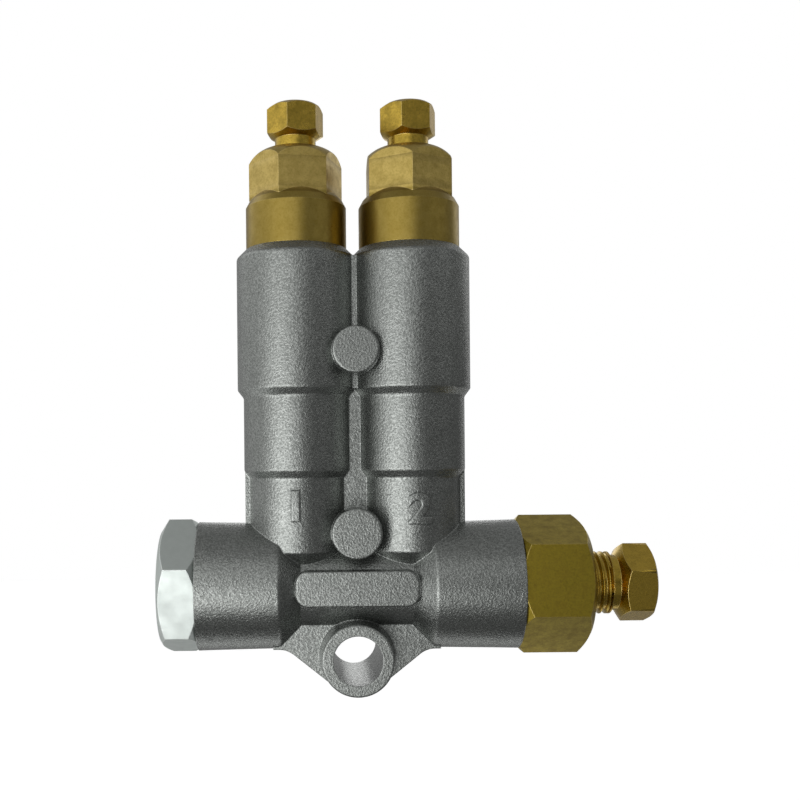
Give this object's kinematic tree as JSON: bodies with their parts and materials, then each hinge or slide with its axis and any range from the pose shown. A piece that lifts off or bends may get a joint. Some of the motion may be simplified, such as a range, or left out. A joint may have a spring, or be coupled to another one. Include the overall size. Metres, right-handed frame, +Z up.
{
  "type": "piston lubrication distributor",
  "caption": "Cast distributor block with metering columns, brass nipples, tube unions and a screw eye, for dosing oil from one line to lubrication points.",
  "frame": {"origin": "axis of the mounting eye, in the mounting face at its back", "axes": "+Z up along the metering columns, -Y towards the front, +X towards the inlet"},
  "size_m": [0.0775, 0.0214, 0.0931],
  "materials": {
    "cast_body": "blasted die casting, satin",
    "turned_brass": "turned, satin",
    "union_brass": "turned, bright",
    "adapter_brass": "drawn hexagon bar, satin",
    "zinc_plate": "blue zinc plate",
    "seal_rubber": "matt",
    "valve_rubber": "matt",
    "piston_steel": "ground",
    "spring_steel": "drawn wire",
    "ball_steel": "polished"
  },
  "bodies": {
    "housing": {"manifold_body": "cast_body", "gallery_plug": "zinc_plate", "gallery_plug_seal": "seal_rubber", "inlet_adapter": "adapter_brass", "inlet_adapter_seal": "seal_rubber", "metering_nipple_1": "turned_brass", "nipple_seal_1": "seal_rubber", "valve_insert_1": "turned_brass", "check_retainer_1": "turned_brass", "return_spring_1": "spring_steel", "check_spring_1": "spring_steel", "metering_nipple_2": "turned_brass", "nipple_seal_2": "seal_rubber", "valve_insert_2": "turned_brass", "check_retainer_2": "turned_brass", "return_spring_2": "spring_steel", "check_spring_2": "spring_steel"},
    "inlet_sleeve": {"inlet_taper_sleeve": "turned_brass"},
    "inlet_screw": {"inlet_union_screw": "union_brass"},
    "piston_1": {"metering_piston_1": "piston_steel", "piston_seal_1": "seal_rubber"},
    "valve_1": {"collar_valve_1": "valve_rubber"},
    "ball_1": {"check_ball_1": "ball_steel"},
    "outlet_sleeve_1": {"outlet_taper_sleeve_1": "turned_brass"},
    "outlet_screw_1": {"outlet_union_screw_1": "union_brass"},
    "piston_2": {"metering_piston_2": "piston_steel", "piston_seal_2": "seal_rubber"},
    "valve_2": {"collar_valve_2": "valve_rubber"},
    "ball_2": {"check_ball_2": "ball_steel"},
    "outlet_sleeve_2": {"outlet_taper_sleeve_2": "turned_brass"},
    "outlet_screw_2": {"outlet_union_screw_2": "union_brass"}
  },
  "joints": [
    {"name": "inlet_union_advance", "type": "slide", "parent": "housing", "child": "inlet_sleeve", "axis": [1, 0, 0], "range_m": [-0.0025, 0.003]},
    {"name": "inlet_union_turn", "type": "hinge", "parent": "inlet_sleeve", "child": "inlet_screw", "pos_m": [0, -0.01107, 0.0108], "axis": [1, 0, 0], "range_deg": [-920, 1100]},
    {"name": "piston_1_stroke", "type": "slide", "parent": "housing", "child": "piston_1", "axis": [0, 0, 1], "range_m": [0, 0.007], "stiffness_N_per_m": 1500, "springref_m": -0.005, "deforming": ["return_spring_1"]},
    {"name": "valve_1_lift", "type": "slide", "parent": "housing", "child": "valve_1", "axis": [0, 0, 1], "range_m": [0, 0.0008]},
    {"name": "ball_1_lift", "type": "slide", "parent": "housing", "child": "ball_1", "axis": [0, 0, 1], "range_m": [0, 0.0015], "stiffness_N_per_m": 200, "springref_m": -0.002, "deforming": ["check_spring_1"]},
    {"name": "outlet_union_1_advance", "type": "slide", "parent": "housing", "child": "outlet_sleeve_1", "axis": [0, 0, 1], "range_m": [0, 0.003]},
    {"name": "outlet_union_1_turn", "type": "hinge", "parent": "outlet_sleeve_1", "child": "outlet_screw_1", "pos_m": [-0.009, -0.01107, 0], "axis": [0, 0, 1], "range_deg": [-20, 1100]},
    {"name": "piston_2_stroke", "type": "slide", "parent": "housing", "child": "piston_2", "axis": [0, 0, 1], "range_m": [0, 0.007], "stiffness_N_per_m": 1500, "springref_m": -0.005, "deforming": ["return_spring_2"]},
    {"name": "valve_2_lift", "type": "slide", "parent": "housing", "child": "valve_2", "axis": [0, 0, 1], "range_m": [0, 0.0008]},
    {"name": "ball_2_lift", "type": "slide", "parent": "housing", "child": "ball_2", "axis": [0, 0, 1], "range_m": [0, 0.0015], "stiffness_N_per_m": 200, "springref_m": -0.002, "deforming": ["check_spring_2"]},
    {"name": "outlet_union_2_advance", "type": "slide", "parent": "housing", "child": "outlet_sleeve_2", "axis": [0, 0, 1], "range_m": [0, 0.003]},
    {"name": "outlet_union_2_turn", "type": "hinge", "parent": "outlet_sleeve_2", "child": "outlet_screw_2", "pos_m": [0.009, -0.01107, 0], "axis": [0, 0, 1], "range_deg": [-20, 1100]}
  ],
  "couplings": [
    {"joint": "inlet_union_turn", "follows": "inlet_union_advance", "rad_per_m": 6283.2},
    {"joint": "outlet_union_1_turn", "follows": "outlet_union_1_advance", "rad_per_m": 6283.2},
    {"joint": "outlet_union_2_turn", "follows": "outlet_union_2_advance", "rad_per_m": 6283.2}
  ]
}
